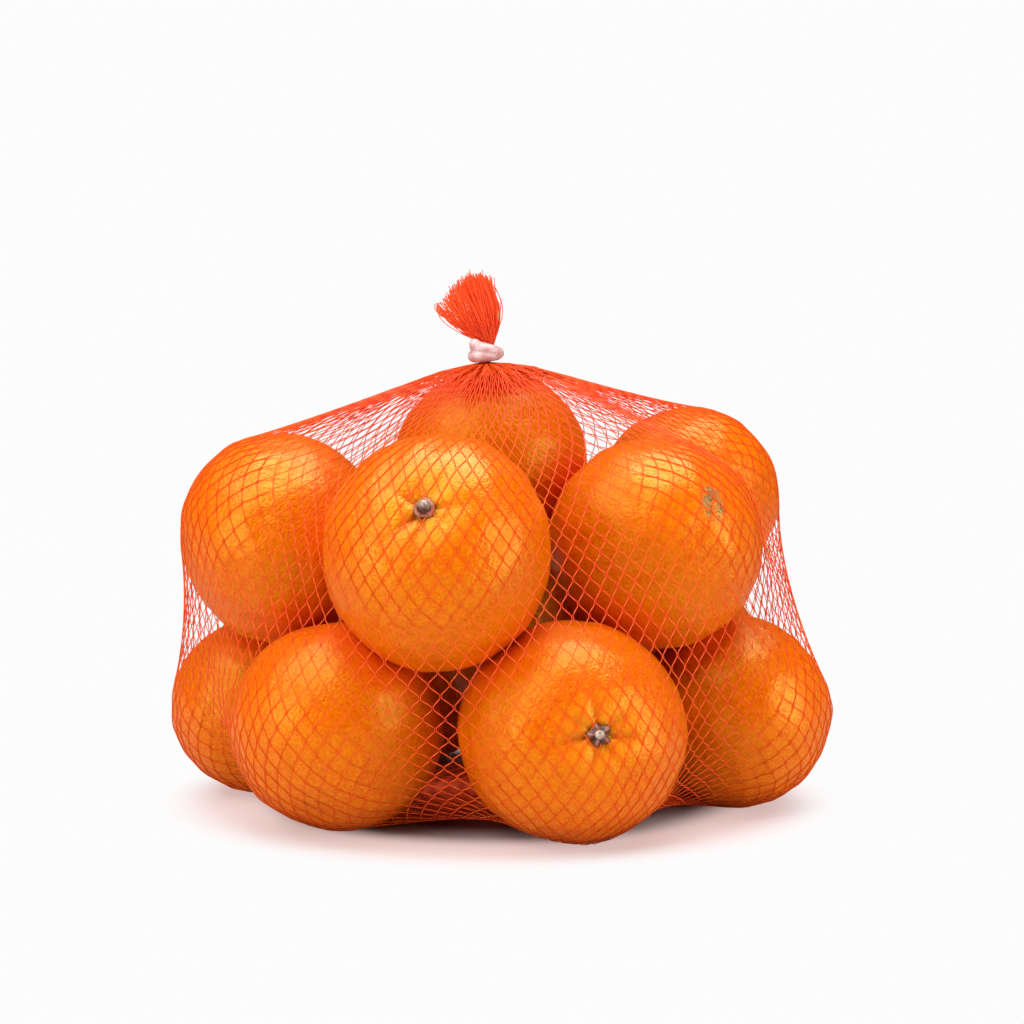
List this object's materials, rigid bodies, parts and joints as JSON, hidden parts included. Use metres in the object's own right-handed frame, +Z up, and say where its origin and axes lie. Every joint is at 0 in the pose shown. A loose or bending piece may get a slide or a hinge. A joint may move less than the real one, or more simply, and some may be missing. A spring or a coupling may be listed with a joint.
{
  "type": "net of mandarins",
  "caption": "Taut diamond net bag filled with ripe mandarins, drawn together at the top with a pale wound tie and a short fanned tail; stands on its fruit.",
  "frame": {"origin": "on the floor, under the middle of the pack's outline", "axes": "+Z up; +X to the right and +Y away from the viewer, seen from the pictured side"},
  "size_m": [0.2158, 0.1781, 0.1719],
  "materials": {
    "peel": "waxy orange peel with fine oil pores and soft sheen",
    "net": "thin red-orange knitted plastic strand, slightly see-through",
    "tie": "soft milky white plastic cord"
  },
  "bodies": {
    "root": {"net_pack": "peel", "neck_tie": "tie", "net_tail": "net"}
  },
  "joints": []
}
